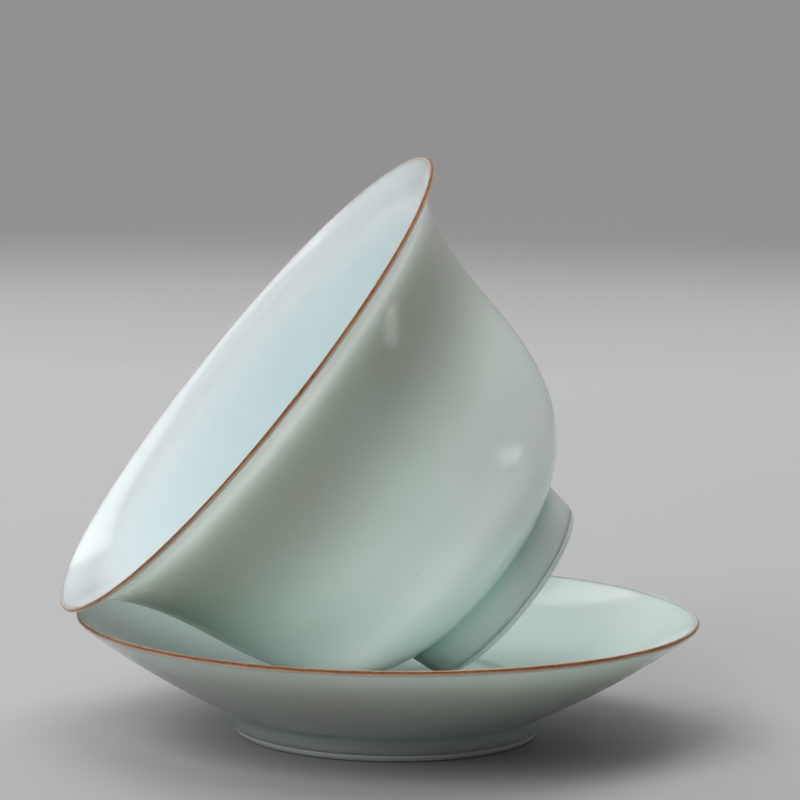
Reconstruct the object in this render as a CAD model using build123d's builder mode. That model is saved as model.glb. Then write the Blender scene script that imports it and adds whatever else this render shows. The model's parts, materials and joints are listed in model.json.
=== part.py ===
from build123d import *
from math import cos, hypot, inf, pi, radians, sin
import os

# A porcelain gaiwan without its lid: a flared bowl lying on its side in its saucer.
# The saucer's axis is Z and its foot stands on Z = 0. The bowl rests on the rounded
# edge of its foot and on its belly. Lengths are in millimetres, angles in degrees.

# Saucer
saucer_rim_radius = 55.0
saucer_height = 21.3
saucer_lip_thickness = 1.0
saucer_lip_angle = 37.0
saucer_foot_radius = 26.7
saucer_foot_height = 4.2
saucer_foot_flare = 1.1
saucer_foot_ring_width = 3.2
saucer_base_thickness = 3.2
saucer_floor_height = 9.95
well_depth = 0.6
well_clearance = 1.6
well_step = 1.2

# Bowl
bowl_rim_radius = 50.3
bowl_height = 60.9
bowl_lip_thickness = 0.9
bowl_lip_angle = 24.0
flare_drop = 4.7
flare_inset = 6.0
waist_radius = 40.9
waist_drop = 12.4
belly_radius = 37.3
belly_height = 31.5
belly_fullness = (0.711, 0.4135)
neck_angle = 18.0
bowl_wall_thickness = 1.9
bowl_base_thickness = 3.2
bowl_foot_radius = 18.9
bowl_foot_height = 7.8
bowl_foot_flare = 0.9
bowl_foot_ring_width = 2.9
bowl_foot_recess = 6.2

# Foot edges and lip lines
foot_edge_radius = 1.1
foot_edge_height = 1.25
recess_fillet = 1.2
well_fillet = 1.0
lip_line_width = 0.5

# How the bowl lies in the saucer
lean_heading = 190.9
foot_offset = 21.1
rest_gap = 0.25
check_spacing = 0.3
check_turns = 120


def lip_ends(rim_radius, rim_height, thickness, angle):
    """Outer end, tip and inner end of a fully rounded lip, as radius and height."""
    middle = Vector(rim_radius - thickness / 2, rim_height - thickness / 2)
    along = Vector(cos(radians(angle)), sin(radians(angle)))
    across = Vector(-along.Y, along.X)
    outer = middle - across * (thickness / 2)
    tip = middle + along * (thickness / 2)
    inner = middle + across * (thickness / 2)
    return outer, tip, inner


def inside(outline, position, thickness):
    """Point one wall thickness inside an outline that runs upwards and outwards."""
    along = outline % position
    return outline @ position + Vector(-along.Y, along.X) * thickness


def nearest_corner(section, radius, height):
    """The section's corner nearest to a radius and height."""
    return section.vertices().sort_by_distance((radius, height))[0]


def lip_zone(lip, angle):
    """Square that takes in the end of the wall, cut straight across it."""
    outer, tip, inner = lip
    along = Vector(cos(radians(angle)), sin(radians(angle)))
    size = 10 * lip_line_width
    with BuildSketch() as zone:
        with Locations(tip + along * (size / 2 - lip_line_width)):
            Rectangle(size, size, rotation=angle)
    return zone.sketch


def foot_zone(foot_radius):
    """Band that takes in the unglazed edge at the bottom of a foot ring."""
    with BuildSketch() as zone:
        Rectangle(2 * foot_radius, foot_edge_height, align=(Align.MIN, Align.MIN))
    return zone.sketch


# Saucer section: radius along X, height along Y
saucer_lip = lip_ends(saucer_rim_radius, saucer_height, saucer_lip_thickness, saucer_lip_angle)
saucer_ceiling = saucer_floor_height - saucer_base_thickness
well_radius = bowl_foot_radius + well_clearance
brow = Vector(well_radius + well_step, saucer_floor_height + well_depth)
inwards = Vector(-cos(radians(saucer_lip_angle)), -sin(radians(saucer_lip_angle)))
saucer_ring_inner = saucer_foot_radius - saucer_foot_ring_width
with BuildSketch() as saucer_section:
    with BuildLine():
        Polyline(
            (0, saucer_floor_height),
            (0, saucer_ceiling),
            (saucer_ring_inner, saucer_ceiling),
            (saucer_ring_inner, 0),
            (saucer_foot_radius, 0),
            (saucer_foot_radius + saucer_foot_flare, saucer_foot_height),
        )
        TangentArc(
            saucer_lip[0],
            (saucer_foot_radius + saucer_foot_flare, saucer_foot_height),
            tangent=inwards,
        )
        ThreePointArc(*saucer_lip)
        saucer_dish = TangentArc(saucer_lip[2], brow, tangent=inwards)
        Polyline(brow, (well_radius, saucer_floor_height), (0, saucer_floor_height))
    make_face()
    fillet(saucer_section.vertices().group_by(Axis.Y)[0], foot_edge_radius)
    fillet(nearest_corner(saucer_section, saucer_ring_inner, saucer_ceiling), recess_fillet)
    fillet(nearest_corner(saucer_section, brow.X, brow.Y), well_fillet)
    fillet(nearest_corner(saucer_section, well_radius, saucer_floor_height), well_fillet)

# Bowl section: radius along X, height above its foot along Y
bowl_lip = lip_ends(bowl_rim_radius, bowl_height, bowl_lip_thickness, bowl_lip_angle)
bowl_ring_inner = bowl_foot_radius - bowl_foot_ring_width
neck = Vector(bowl_foot_radius + bowl_foot_flare, bowl_foot_height)
belly = Vector(belly_radius, belly_height)
belly_turn = Vector(
    neck.X + (belly.X - neck.X) * belly_fullness[0],
    neck.Y + (belly.Y - neck.Y) * belly_fullness[1],
)
waist = Vector(waist_radius, bowl_height - waist_drop)
flare = Vector(bowl_rim_radius - flare_inset, bowl_height - flare_drop)
outwards = Vector(cos(radians(bowl_lip_angle)), sin(radians(bowl_lip_angle)))
with BuildSketch() as bowl_section:
    with BuildLine():
        Polyline(
            (0, bowl_foot_recess + bowl_base_thickness),
            (0, bowl_foot_recess),
            (bowl_ring_inner, bowl_foot_recess),
            (bowl_ring_inner, 0),
            (bowl_foot_radius, 0),
            neck,
        )
        bowl_outside = Spline(
            neck,
            belly_turn,
            belly,
            waist,
            flare,
            bowl_lip[0],
            tangents=[Vector(cos(radians(neck_angle)), sin(radians(neck_angle))), outwards],
        )
        ThreePointArc(*bowl_lip)
        bowl_floor = TangentArc(
            (0, bowl_foot_recess + bowl_base_thickness),
            inside(bowl_outside, 0.20, bowl_wall_thickness),
            tangent=(1, 0),
        )
        Spline(
            bowl_floor @ 1,
            inside(bowl_outside, 0.42, bowl_wall_thickness),
            inside(bowl_outside, 0.75, bowl_wall_thickness),
            inside(bowl_outside, 0.88, bowl_lip_thickness),
            bowl_lip[2],
            tangents=[bowl_floor % 1, outwards],
        )
    make_face()
    fillet(bowl_section.vertices().group_by(Axis.Y)[0], foot_edge_radius)
    fillet(nearest_corner(bowl_section, bowl_ring_inner, bowl_foot_recess), recess_fillet)


def points_along(edge):
    """Points of an outline's edge, no further apart than the check spacing."""
    count = int(edge.length / check_spacing) + 1
    return [edge @ (step / count) for step in range(count + 1)]


def resting_lean(points):
    """Lean at which the foot's edge and the belly come down on a flat floor together."""
    foot = [point for point in points if point.Y < bowl_foot_height]
    body = [point for point in points if point.Y >= bowl_foot_height]
    low, high = 0.0, pi / 2
    for _ in range(40):
        lean = (low + high) / 2
        foot_depth = max(point.X * sin(lean) - point.Y * cos(lean) for point in foot)
        body_depth = max(point.X * sin(lean) - point.Y * cos(lean) for point in body)
        if foot_depth > body_depth:
            low = lean
        else:
            high = lean
    return lean


def dish_height(radius):
    """Height of the saucer's upper surface at a radius, or nothing outside its rim."""
    if radius <= well_radius:
        return saucer_floor_height
    if radius <= brow.X:
        return brow.Y
    if radius >= saucer_rim_radius:
        return -inf
    if radius >= saucer_lip[2].X:
        return saucer_height
    centre = saucer_dish.arc_center
    return centre.Y - (saucer_dish.radius**2 - (radius - centre.X) ** 2) ** 0.5


def resting_height(points, lean):
    """Height of the foot's centre that leaves the rest gap over the whole saucer."""
    height = -inf
    for point in points:
        for step in range(check_turns + 1):
            turn = pi * step / check_turns
            ahead = point.Y * sin(lean) + point.X * cos(turn) * cos(lean) - foot_offset
            below = point.X * cos(turn) * sin(lean) - point.Y * cos(lean)
            floor = dish_height(hypot(ahead, point.X * sin(turn)))
            height = max(height, floor + rest_gap + below)
    return height


outline = [point for edge in bowl_section.edges() for point in points_along(edge)]
lean = resting_lean(outline)
heading = Vector(cos(radians(lean_heading)), sin(radians(lean_heading)))
foot_centre = heading * -foot_offset + Vector(0, 0, resting_height(outline, lean))
bowl_up = heading * sin(lean) + Vector(0, 0, cos(lean))
bowl_down_side = heading * cos(lean) - Vector(0, 0, sin(lean))
bowl_plane = Plane(foot_centre, x_dir=bowl_down_side, z_dir=bowl_down_side.cross(bowl_up))
bowl_axis = Axis(foot_centre, bowl_up)

os.makedirs("parts", exist_ok=True)

with BuildPart() as saucer_body:
    with BuildSketch(Plane.XZ):
        add(saucer_section.sketch)
        add(lip_zone(saucer_lip, saucer_lip_angle), mode=Mode.SUBTRACT)
        add(foot_zone(saucer_foot_radius), mode=Mode.SUBTRACT)
    revolve(axis=Axis.Z)
saucer_body.part.label = "saucer_body"
export_step(saucer_body.part, "parts/saucer_body.step")

with BuildPart() as saucer_lip_line:
    with BuildSketch(Plane.XZ):
        add(saucer_section.sketch)
        add(lip_zone(saucer_lip, saucer_lip_angle), mode=Mode.INTERSECT)
    revolve(axis=Axis.Z)
saucer_lip_line.part.label = "saucer_lip_line"
export_step(saucer_lip_line.part, "parts/saucer_lip_line.step")

with BuildPart() as saucer_foot_edge:
    with BuildSketch(Plane.XZ):
        add(saucer_section.sketch)
        add(foot_zone(saucer_foot_radius), mode=Mode.INTERSECT)
    revolve(axis=Axis.Z)
saucer_foot_edge.part.label = "saucer_foot_edge"
export_step(saucer_foot_edge.part, "parts/saucer_foot_edge.step")

with BuildPart() as bowl_body:
    with BuildSketch(bowl_plane):
        add(bowl_section.sketch)
        add(lip_zone(bowl_lip, bowl_lip_angle), mode=Mode.SUBTRACT)
        add(foot_zone(bowl_foot_radius), mode=Mode.SUBTRACT)
    revolve(axis=bowl_axis)
bowl_body.part.label = "bowl_body"
export_step(bowl_body.part, "parts/bowl_body.step")

with BuildPart() as bowl_lip_line:
    with BuildSketch(bowl_plane):
        add(bowl_section.sketch)
        add(lip_zone(bowl_lip, bowl_lip_angle), mode=Mode.INTERSECT)
    revolve(axis=bowl_axis)
bowl_lip_line.part.label = "bowl_lip_line"
export_step(bowl_lip_line.part, "parts/bowl_lip_line.step")

with BuildPart() as bowl_foot_edge:
    with BuildSketch(bowl_plane):
        add(bowl_section.sketch)
        add(foot_zone(bowl_foot_radius), mode=Mode.INTERSECT)
    revolve(axis=bowl_axis)
bowl_foot_edge.part.label = "bowl_foot_edge"
export_step(bowl_foot_edge.part, "parts/bowl_foot_edge.step")
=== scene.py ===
import bpy
import json
import math
from mathutils import Matrix, Vector, noise


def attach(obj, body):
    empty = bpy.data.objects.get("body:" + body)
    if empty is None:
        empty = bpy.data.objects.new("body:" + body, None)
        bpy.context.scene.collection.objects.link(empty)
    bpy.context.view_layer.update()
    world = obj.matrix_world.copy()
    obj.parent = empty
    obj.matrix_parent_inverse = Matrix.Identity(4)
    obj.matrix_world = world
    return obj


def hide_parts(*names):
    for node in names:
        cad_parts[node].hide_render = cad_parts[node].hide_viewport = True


# A celadon gaiwan without its lid: the bowl lies on its side in the saucer. Both pieces are
# turned afresh here, from the outlines of the CAD nodes, as thin glazed porcelain: the outlines
# are softened as glaze softens them, and the walls get the slight unevenness of a thrown piece.

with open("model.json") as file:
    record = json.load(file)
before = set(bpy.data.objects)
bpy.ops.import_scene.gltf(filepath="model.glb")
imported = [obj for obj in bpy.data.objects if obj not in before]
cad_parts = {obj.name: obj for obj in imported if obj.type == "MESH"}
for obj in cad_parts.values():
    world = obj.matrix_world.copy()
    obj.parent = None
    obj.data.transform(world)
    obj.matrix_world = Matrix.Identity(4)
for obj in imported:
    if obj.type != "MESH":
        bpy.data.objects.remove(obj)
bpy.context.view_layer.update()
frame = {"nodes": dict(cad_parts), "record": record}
MM = 0.001
MOUNTS = {mount["name"]: mount for mount in frame["record"]["mounts"]}

SEGMENTS = 288
GRID = MM / 100
SEAM_REACH = 0.002 * MM
FINE_STEP = 0.1 * MM
COARSE_STEP = 0.5 * MM
GLAZE_SOFTENING = 0.28 * MM
POOL_REACH = 2.6 * MM
LONGEST_ROW = 1.3 * MM
LARGEST_TURN = math.radians(5)


# ---------------------------------------------------------------- where each piece stands

def axis_frame(origin, up, side):
    """Matrix from a turned piece's own space, with its axis on Z, to the row frame."""
    turn = Matrix((side, up.cross(side), up)).transposed().to_4x4()
    return Matrix.Translation(origin) @ turn


def bowl_space():
    """The bowl's own space: its foot's centre, its axis, and the side that it lies on."""
    foot = MOUNTS["bowl_foot"]
    up = -Vector(foot["axis"]).normalized()
    lying_side = (up.z * up - Vector((0, 0, 1))).normalized()
    return axis_frame(Vector(foot["pos_m"]), up, lying_side)


def saucer_space():
    """The saucer's own space is the row frame."""
    return axis_frame(Vector((0, 0, 0)), Vector((0, 0, 1)), Vector((1, 0, 0)))


# ---------------------------------------------------------------- outlines read from the frame

def seam_edges(node, inverse):
    """Edges of a CAD node that lie on its seam, as pairs of (radius, height) in grid steps."""
    mesh = frame["nodes"][node].data
    points = []
    for vertex in mesh.vertices:
        place = inverse @ vertex.co
        on_seam = abs(place.y) < SEAM_REACH and place.x > -SEAM_REACH
        points.append((round(place.x / GRID), round(place.z / GRID)) if on_seam else None)
    edges = set()
    for edge in mesh.edges:
        start, end = (points[index] for index in edge.vertices)
        if start is not None and end is not None and start != end:
            edges.add((min(start, end), max(start, end)))
    return edges


def outline_of(nodes, space):
    """A turned piece's outline from its axis, up the inside, over the lip, down the outside
    and under the foot to the axis again, with the points where its nodes meet."""
    inverse = space.inverted()
    seen, shared = set(), set()
    for node in nodes:
        edges = seam_edges(node, inverse)
        shared |= seen & edges
        seen |= edges
    neighbours = {}
    for start, end in seen - shared:
        neighbours.setdefault(start, []).append(end)
        neighbours.setdefault(end, []).append(start)
    ends = [point for point, linked in neighbours.items() if len(linked) == 1]
    point = max(ends, key=lambda end: end[1])
    chain = [(0, point[1]), point]
    while True:
        onward = [linked for linked in neighbours[point] if linked not in chain[-2:]]
        if not onward:
            break
        point = onward[0]
        chain.append(point)
    chain.append((0, point[1]))
    outline = [Vector((radius * GRID, height * GRID)) for radius, height in chain]
    joints = [Vector((radius * GRID, height * GRID)) for edge in shared for radius, height in edge]
    return outline, joints


def evenly(points, step):
    """The same line with points one step apart."""
    lengths = [0.0]
    for start, end in zip(points, points[1:]):
        lengths.append(lengths[-1] + (end - start).length)
    count = max(2, round(lengths[-1] / step))
    result, index = [], 0
    for number in range(count + 1):
        reach = lengths[-1] * number / count
        while index < len(points) - 2 and lengths[index + 1] < reach:
            index += 1
        span = max(lengths[index + 1] - lengths[index], 1e-12)
        result.append(points[index].lerp(points[index + 1], (reach - lengths[index]) / span))
    return result


def softened(points, reach, step):
    """The line after a run of small averagings, mirrored at the axis so that it stays level there."""
    for _ in range(max(1, round(2 * (reach / step) ** 2))):
        before = Vector((-points[1].x, points[1].y))
        after = Vector((-points[-2].x, points[-2].y))
        padded = [before] + points + [after]
        points = [(a + 2 * b + c) / 4 for a, b, c in zip(padded, padded[1:], padded[2:])]
    return points


class Outline:
    """A softened outline. For each point, `lip` is its way along the outline from the lip's tip, in
    mm and below 0 on the inside, and `pool` is how hollow the outline is there."""

    def __init__(self, nodes, space):
        sharp, joints = outline_of(nodes, space)
        fine = evenly(sharp, FINE_STEP)
        smooth = softened(fine, GLAZE_SOFTENING, FINE_STEP)
        broad = softened(evenly(fine, COARSE_STEP), POOL_REACH, COARSE_STEP)
        self.height = max(point.y for point in smooth)
        tip = max(range(len(smooth)), key=lambda index: smooth[index].x + smooth[index].y)
        cuts = sorted(min(range(len(smooth)), key=lambda i: (smooth[i] - joint).length) for joint in joints)
        self.lip_inner, self.lip_outer, self.foot_outer, self.foot_inner = self.rows_at(smooth, cuts)
        self.points = [smooth[index] for index in self.kept]
        self.lip = [(index - tip) * FINE_STEP / MM for index in self.kept]
        self.pool = [self.hollow(smooth, broad, index) for index in self.kept]

    def rows_at(self, smooth, cuts):
        """Keeps some points as rows of the mesh, closer together on tight bends, and finds the
        rows where the nodes meet."""
        self.kept = [0]
        for index in range(1, len(smooth) - 1):
            last = self.kept[-1]
            ahead = smooth[index + 1] - smooth[index]
            start = smooth[last + 1] - smooth[last]
            far = (index - last) * FINE_STEP >= LONGEST_ROW
            if far or start.angle(ahead, 0) > LARGEST_TURN or index in cuts:
                self.kept.append(index)
        self.kept.append(len(smooth) - 1)
        return [self.kept.index(cut) for cut in cuts]

    def hollow(self, smooth, broad, index):
        """How far the outline lies inside its broad average, in mm: above 0 where glaze pools."""
        share = index / (len(smooth) - 1) * (len(broad) - 1)
        low = min(int(share), len(broad) - 2)
        middle = broad[low].lerp(broad[low + 1], share - low)
        near = smooth[max(index - 3, 0)]
        along = smooth[min(index + 3, len(smooth) - 1)] - near
        outward = Vector((-along.y, along.x)).normalized()
        return (middle - smooth[index]).dot(outward) / MM


# ---------------------------------------------------------------- meshes

LIP_WAVE = 0.11 * MM
OVAL = 0.0016
RIPPLE = 0.035 * MM
RIPPLE_SIZE = 14 * MM


def uneven(point, height, seed):
    """A point moved as a thrown and fired wall moves: a little oval, wavy at the lip, faintly rippled."""
    angle = math.atan2(point.y, point.x)
    rise = max(point.z / height, 0)
    oval = 1 + OVAL * rise**2 * math.cos(2 * angle + seed)
    wave = LIP_WAVE * rise**3 * (math.sin(2 * angle + 2 * seed) + 0.5 * math.sin(3 * angle + seed))
    shift = noise.noise(point / RIPPLE_SIZE + Vector((seed, 2 * seed, 0))) * RIPPLE
    outward = Vector((math.cos(angle), math.sin(angle), 0))
    moved = Vector((point.x * oval, point.y * oval, point.z + wave))
    return moved + outward * shift * min(1, math.hypot(point.x, point.y) / RIPPLE_SIZE)


def turned(name, outline, rows, space, seed):
    """A closed turned solid through some rows of an outline. A row on the axis becomes one point."""
    vertices, faces, lips, pools, starts = [], [], [], [], []
    for row in rows:
        place = outline.points[row]
        on_axis = place.x < FINE_STEP / 2
        starts.append((len(vertices), on_axis))
        for segment in range(1 if on_axis else SEGMENTS):
            angle = 2 * math.pi * segment / SEGMENTS
            point = Vector((place.x * math.cos(angle), place.x * math.sin(angle), place.y))
            vertices.append(space @ uneven(point, outline.height, seed))
            lips.append(outline.lip[row])
            pools.append(outline.pool[row])
    from_axis = starts[0][1]
    following = starts[1:] if from_axis else starts[1:] + starts[:1]
    for (low, low_on_axis), (high, high_on_axis) in zip(starts, following):
        for segment in range(SEGMENTS):
            onward = (segment + 1) % SEGMENTS
            if low_on_axis:
                faces.append((low, high + onward, high + segment))
            elif high_on_axis:
                faces.append((low + segment, low + onward, high))
            else:
                faces.append((low + segment, low + onward, high + onward, high + segment))
    mesh = bpy.data.meshes.new(name)
    mesh.from_pydata(vertices, [], faces)
    mesh.flip_normals()
    mesh.shade_smooth()
    kinds = [float(name.startswith("bowl"))] * len(vertices)
    for label, values in (("lip", lips), ("pool", pools), ("is_bowl", kinds)):
        attribute = mesh.attributes.new(label, "FLOAT", "POINT")
        attribute.data.foreach_set("value", values)
    piece = bpy.data.objects.new(name, mesh)
    bpy.context.scene.collection.objects.link(piece)
    return piece


# ---------------------------------------------------------------- materials

class Shader:
    """A material with short ways to add and link nodes."""

    def __init__(self, name):
        self.material = bpy.data.materials.new(name)
        self.material.use_nodes = True
        self.nodes = self.material.node_tree.nodes
        self.surface = self.nodes["Principled BSDF"]

    def add(self, kind, **values):
        node = self.nodes.new(kind)
        for key, value in values.items():
            if hasattr(node, key):
                setattr(node, key, value)
            else:
                node.inputs[key.replace("_", " ")].default_value = value
        return node

    def link(self, output, target):
        self.material.node_tree.links.new(output, target)

    def feed(self, socket, value):
        """Gives a socket an output, a colour of three numbers or one number."""
        if isinstance(value, bpy.types.NodeSocket):
            self.link(value, socket)
        elif isinstance(value, tuple):
            socket.default_value = (*value, 1)
        else:
            socket.default_value = value

    def attribute(self, name):
        return self.add("ShaderNodeAttribute", attribute_name=name).outputs["Fac"]

    def noise(self, size, detail=2.0, roughness=0.5):
        """Noise with features of a size in metres, in the row frame."""
        place = self.add("ShaderNodeTexCoord").outputs["Object"]
        node = self.add("ShaderNodeTexNoise", Scale=1 / size, Detail=detail, Roughness=roughness)
        self.link(place, node.inputs["Vector"])
        return node.outputs["Fac"]

    def ramp(self, factor, low, high, stops):
        """A colour ramp over a span of values, with stops from 0 to 1."""
        ramp = self.add("ShaderNodeValToRGB")
        elements = ramp.color_ramp.elements
        while len(elements) < len(stops):
            elements.new(0.5)
        for element, (position, color) in zip(elements, stops):
            element.position = position
            element.color = (*color, 1)
        self.link(self.span(factor, low, high, 0, 1), ramp.inputs["Fac"])
        return ramp.outputs["Color"]

    def mix(self, factor, first, second):
        """Mixes two colours, each an output or three numbers, by a factor that is an output."""
        node = self.add("ShaderNodeMix", data_type="RGBA")
        inputs = {socket.identifier: socket for socket in node.inputs}
        self.feed(inputs["Factor_Float"], factor)
        self.feed(inputs["A_Color"], first)
        self.feed(inputs["B_Color"], second)
        return next(socket for socket in node.outputs if socket.identifier == "Result_Color")

    def math(self, operation, *values):
        """A sum or other operation on outputs or numbers."""
        node = self.add("ShaderNodeMath", operation=operation)
        for socket, value in zip(node.inputs, values):
            self.feed(socket, value)
        return node.outputs["Value"]

    def span(self, value, low, high, to_low, to_high):
        """Carries a span of values over to another."""
        node = self.add("ShaderNodeMapRange")
        numbers = {"From Min": low, "From Max": high, "To Min": to_low, "To Max": to_high}
        for name, number in numbers.items():
            node.inputs[name].default_value = number
        self.link(value, node.inputs["Value"])
        return node.outputs["Result"]

    def smooth_span(self, value, low, high, to_low, to_high):
        """Carries a span of values over to another, easing in and out."""
        result = self.span(value, low, high, to_low, to_high)
        result.node.interpolation_type = "SMOOTHSTEP"
        return result

    def bump(self, height, depth, before=None):
        """Bump of a depth in metres, over another bump if there is one."""
        node = self.add("ShaderNodeBump", Strength=1.0, Distance=depth)
        self.link(height, node.inputs["Height"])
        if before is not None:
            self.link(before, node.inputs["Normal"])
        return node.outputs["Normal"]


# One glaze, painted in lit and shaded copies: the bowl's inside is tinted bluer than its outside as painted
# cool window light, and the saucer's outside is darker than its inside as painted shade under the dish.
CELADON_BOWL_INSIDE_COOL_LIT = (0.70, 0.78, 0.80)
CELADON_BOWL_OUTSIDE = (0.81, 0.875, 0.825)
CELADON_SAUCER_INSIDE = (0.69, 0.81, 0.775)
CELADON_SAUCER_OUTSIDE_SHADED = (0.62, 0.68, 0.63)
# Grey of the painted shade band on the wall below the lip.
PAINTED_SHADE_GREY = (0.45, 0.46, 0.405)
POOLED = (0.45, 0.68, 0.60)
THIN = (0.78, 0.82, 0.78)
HALO = (0.72, 0.49, 0.35)
IRON_CORE = (0.20, 0.075, 0.040)
IRON_FRINGE = (0.62, 0.30, 0.14)
IRON_THIN = (0.74, 0.52, 0.40)
IRON_LINE_PLACE = 0.09
SPECK = (0.30, 0.22, 0.14)
BISCUIT_COOL = (0.74, 0.79, 0.80)
BISCUIT_PALE = (0.83, 0.87, 0.88)
BISCUIT_FLASH = (0.66, 0.56, 0.47)


def glaze(shader):
    """Pale celadon over thin porcelain: greener where it pools, warm beside the iron line, with a painted
    shade band greying the wall below the lip and the saucer's underside, and the lit and shaded inside and
    outside colours.
    """
    lip = shader.attribute("lip")
    pool = shader.attribute("pool")
    is_bowl = shader.attribute("is_bowl")
    # Inside and outside get their own colour: the bluer bowl inside is painted light, and the darker saucer
    # outside is painted shade.
    outside = shader.span(lip, -0.5, 0.5, 0, 1)
    bowl = shader.mix(outside, CELADON_BOWL_INSIDE_COOL_LIT, CELADON_BOWL_OUTSIDE)
    saucer = shader.mix(outside, CELADON_SAUCER_INSIDE, CELADON_SAUCER_OUTSIDE_SHADED)
    color = shader.mix(is_bowl, saucer, bowl)
    # Painted shade: a grey band with a noisy edge, from just below the lip to about 35 mm down the wall,
    # darkening the bowl's mid wall and the saucer's underside.
    drawn = shader.math("MULTIPLY_ADD", shader.noise(18 * MM, detail=2), 5, -2.5)
    down_wall = shader.math("ADD", lip, drawn)
    painted_shade_band = shader.math(
        "MULTIPLY",
        shader.smooth_span(down_wall, -1, 11, 0, 0.75),
        shader.smooth_span(down_wall, 15, 35, 1, 0),
    )
    color = shader.mix(painted_shade_band, color, PAINTED_SHADE_GREY)
    cloud = shader.noise(30 * MM, detail=3)
    color = shader.mix(shader.span(cloud, 0.35, 0.75, 0, 0.16), color, POOLED)
    color = shader.mix(shader.span(pool, 0.12, 1.1, 0, 0.7), color, POOLED)
    color = shader.mix(shader.span(pool, -1.0, -0.25, 0.5, 0), color, THIN)
    ragged = shader.math("MULTIPLY_ADD", shader.noise(2.5 * MM), 0.5, -0.35)
    halo = shader.span(shader.math("ADD", lip, ragged), 0.45, 1.15, 0.45, 0)
    inner_edge = shader.span(lip, -0.75, -0.3, 0, 1)
    color = shader.mix(shader.math("MULTIPLY", halo, inner_edge), color, HALO)
    speck = shader.span(shader.noise(0.9 * MM, detail=1), 0.80, 0.84, 0, 0.25)
    color = shader.mix(speck, color, SPECK)
    rough = shader.span(shader.noise(9 * MM, detail=3), 0.3, 0.7, 0.10, 0.17)
    shader.link(rough, shader.surface.inputs["Roughness"])
    skin = shader.bump(shader.noise(3.2 * MM, detail=2), 0.02 * MM)
    skin = shader.bump(shader.noise(0.5 * MM, detail=2), 0.003 * MM, skin)
    shader.link(skin, shader.surface.inputs["Normal"])
    shader.surface.inputs["IOR"].default_value = 1.5
    shader.surface.inputs["Subsurface Weight"].default_value = 1.0
    shader.surface.inputs["Subsurface Radius"].default_value = (1.0, 1.0, 0.95)
    shader.surface.inputs["Subsurface Scale"].default_value = 3.2 * MM
    return color


def celadon():
    """The glazed wall."""
    shader = Shader("celadon_glaze")
    shader.link(glaze(shader), shader.surface.inputs["Base Color"])
    return shader.material


def iron_line():
    """A thin iron-brown line on the lip's outer edge, orange where it runs out, over the glaze."""
    shader = Shader("iron_lip_glaze")
    color = glaze(shader)
    lip = shader.attribute("lip")
    wander = shader.math("MULTIPLY_ADD", shader.noise(3 * MM, detail=3), 0.22, -0.11)
    drift = shader.math("MULTIPLY_ADD", shader.noise(22 * MM, detail=1), 0.3, -0.15)
    wandering = shader.math("ADD", lip, wander)
    from_line = shader.math("ABSOLUTE", shader.math("ADD", wandering, -IRON_LINE_PLACE))
    reach = shader.math("ADD", from_line, drift)
    stops = [(0.0, IRON_CORE), (0.25, IRON_CORE), (0.58, IRON_FRINGE), (1.0, IRON_THIN)]
    iron = shader.ramp(reach, 0.0, 0.62, stops)
    mottle = shader.span(shader.noise(1.1 * MM, detail=3), 0.35, 0.7, 0, 0.3)
    iron = shader.mix(mottle, iron, IRON_FRINGE)
    color = shader.mix(shader.span(reach, 0.34, 0.66, 1, 0), color, iron)
    shader.link(color, shader.surface.inputs["Base Color"])
    shader.surface.inputs["Subsurface Weight"].default_value = 0.3
    return shader.material


def biscuit():
    """Bare fired porcelain: matt, finely gritty, faintly warmed where the glaze ends."""
    shader = Shader("biscuit")
    grain = shader.noise(0.35 * MM, detail=4, roughness=0.65)
    color = shader.mix(shader.span(grain, 0.3, 0.7, 0, 1), BISCUIT_COOL, BISCUIT_PALE)
    flash = shader.span(shader.noise(6 * MM, detail=3), 0.4, 0.75, 0, 0.12)
    color = shader.mix(flash, color, BISCUIT_FLASH)
    shader.link(color, shader.surface.inputs["Base Color"])
    shader.link(shader.span(grain, 0.3, 0.7, 0.7, 0.92), shader.surface.inputs["Roughness"])
    shader.link(shader.bump(grain, 0.02 * MM), shader.surface.inputs["Normal"])
    return shader.material


# ---------------------------------------------------------------- the two pieces

GLAZE = celadon()
IRON = iron_line()
BISCUIT = biscuit()


def fit_out(piece, node, body, material):
    """Puts a piece in the place of its CAD node."""
    piece.data.materials.append(material)
    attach(piece, body)
    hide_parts(node)


def throw(body, space, seed):
    """The glazed wall, the lip line and the bare foot edge of one fired piece."""
    nodes = [f"{body}_body", f"{body}_lip_line", f"{body}_foot_edge"]
    outline = Outline(nodes, space)
    inner, outer = outline.lip_inner, outline.lip_outer
    foot, recess = outline.foot_outer, outline.foot_inner
    last = len(outline.points) - 1
    wall_rows = [*range(inner + 1), *range(outer, foot + 1), *range(recess, last + 1)]
    wall = turned(f"{body}_glazed_wall", outline, wall_rows, space, seed)
    line = turned(f"{body}_iron_line", outline, range(inner, outer + 1), space, seed)
    edge = turned(f"{body}_bare_foot", outline, range(foot, recess + 1), space, seed)
    fit_out(wall, nodes[0], body, GLAZE)
    fit_out(line, nodes[1], body, IRON)
    fit_out(edge, nodes[2], body, BISCUIT)


throw("bowl", bowl_space(), seed=1.7)
throw("saucer", saucer_space(), seed=4.1)


# ---------------------------------------------------------------- floor, light and camera

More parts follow.
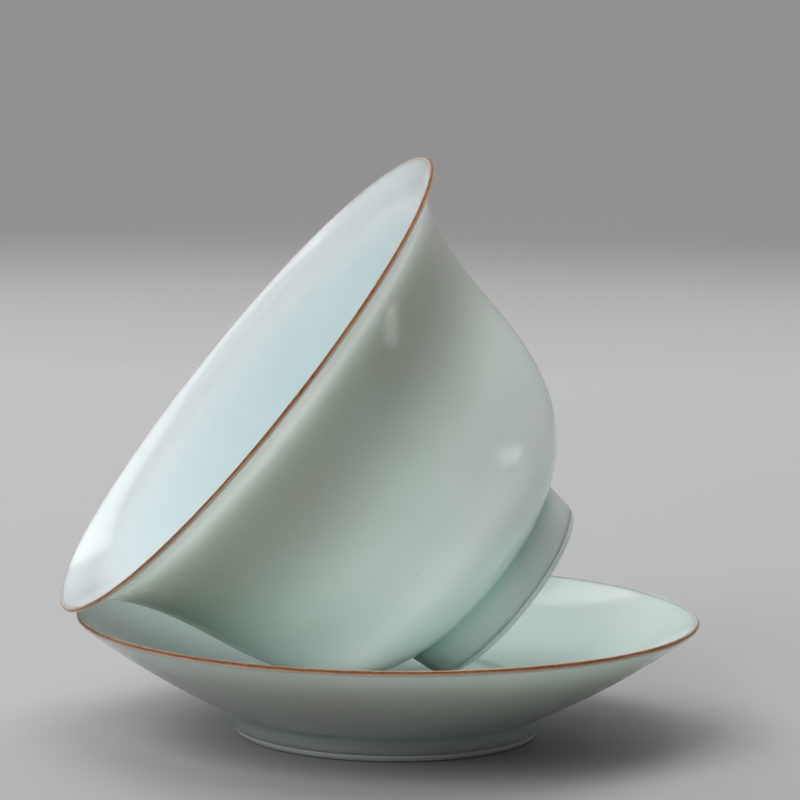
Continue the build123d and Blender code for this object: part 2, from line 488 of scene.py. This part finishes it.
def stage_floor():
    """A plain pale floor that sweeps up all round, far from the object, so that no horizon shows."""
    flat, bend, top, steps, sides = 2.0, 1.5, 4.0, 24, 96
    profile = []
    for step in range(steps + 1):
        angle = math.pi / 2 * step / steps
        profile.append((flat + bend * math.sin(angle), bend * (1 - math.cos(angle))))
    profile.append((flat + bend, top))
    vertices = [(0, 0, 0)]
    for radius, height in profile:
        for side in range(sides):
            angle = 2 * math.pi * side / sides
            vertices.append((radius * math.cos(angle), radius * math.sin(angle), height))
    faces = [(0, 1 + side, 1 + (side + 1) % sides) for side in range(sides)]
    for ring in range(len(profile) - 1):
        low, high = 1 + ring * sides, 1 + (ring + 1) * sides
        for side in range(sides):
            onward = (side + 1) % sides
            faces.append((low + side, high + side, high + onward, low + onward))
    mesh = bpy.data.meshes.new("floor")
    mesh.from_pydata(vertices, [], faces)
    mesh.shade_smooth()
    floor = bpy.data.objects.new("floor", mesh)
    bpy.context.scene.collection.objects.link(floor)
    shader = Shader("floor")
    shader.surface.inputs["Base Color"].default_value = (0.45, 0.45, 0.45, 1)
    shader.surface.inputs["Roughness"].default_value = 0.8
    mesh.materials.append(shader.material)


def softbox(name, place, size, power, color=(1, 1, 1), target=(0, 0, 0.04), mirrored=True):
    """A soft area light, facing the object or a target. Only a mirrored one shows in the glaze."""
    light = bpy.data.lights.new(name, "AREA")
    light.shape = "RECTANGLE"
    light.size, light.size_y = size
    light.energy = power
    light.color = color
    lamp = bpy.data.objects.new(name, light)
    bpy.context.scene.collection.objects.link(lamp)
    lamp.location = place
    aim = Vector(target) - lamp.location
    lamp.rotation_euler = aim.to_track_quat("-Z", "Y").to_euler()
    lamp.visible_glossy = mirrored


def ambient(color, strength):
    """Even light from all round."""
    world = bpy.data.worlds.new("studio")
    world.use_nodes = True
    background = world.node_tree.nodes["Background"]
    background.inputs["Color"].default_value = (*color, 1)
    background.inputs["Strength"].default_value = strength
    bpy.context.scene.world = world


def camera():
    """A long lens, a little above the bowl and tilted down."""
    data = bpy.data.cameras.new("camera")
    data.sensor_width = 36
    data.lens = 132.75
    data.clip_start = 0.01
    eye = bpy.data.objects.new("camera", data)
    bpy.context.scene.collection.objects.link(eye)
    pitch, roll = math.radians(5.64), math.radians(0.915)
    turn = Matrix.Rotation(math.pi / 2 - pitch, 4, "X") @ Matrix.Rotation(roll, 4, "Z")
    eye.matrix_world = Matrix.Translation((0.0015, -0.5160, 0.1099)) @ turn
    bpy.context.scene.camera = eye


stage_floor()
ambient((1, 1, 1), 0.06)
softbox("window_back_left", (-0.8, 0.7, 0.8), (0.9, 0.9), 5.0)
softbox("sky_back_left", (-0.8, 0.7, 0.8), (0.8, 0.8), 4.0, mirrored=False)
softbox("back_right", (0.7, 0.9, 0.9), (0.9, 0.9), 4.2, mirrored=False)
softbox("overhead", (0.0, 0.0, 1.4), (1.0, 1.0), 5.5, mirrored=False)
softbox("front_left", (-0.6, -0.8, 0.9), (0.8, 0.8), 10.4, (0.97, 0.99, 1.0), mirrored=False)
softbox("window_right", (1.25, 0.14, 0.13), (0.4, 0.12), 0.3)
softbox("backdrop", (0.0, 1.0, 2.4), (2.5, 0.6), 42.0, target=(0.0, 3.0, 0.9), mirrored=False)
camera()
bpy.context.scene.view_settings.view_transform = "Standard"
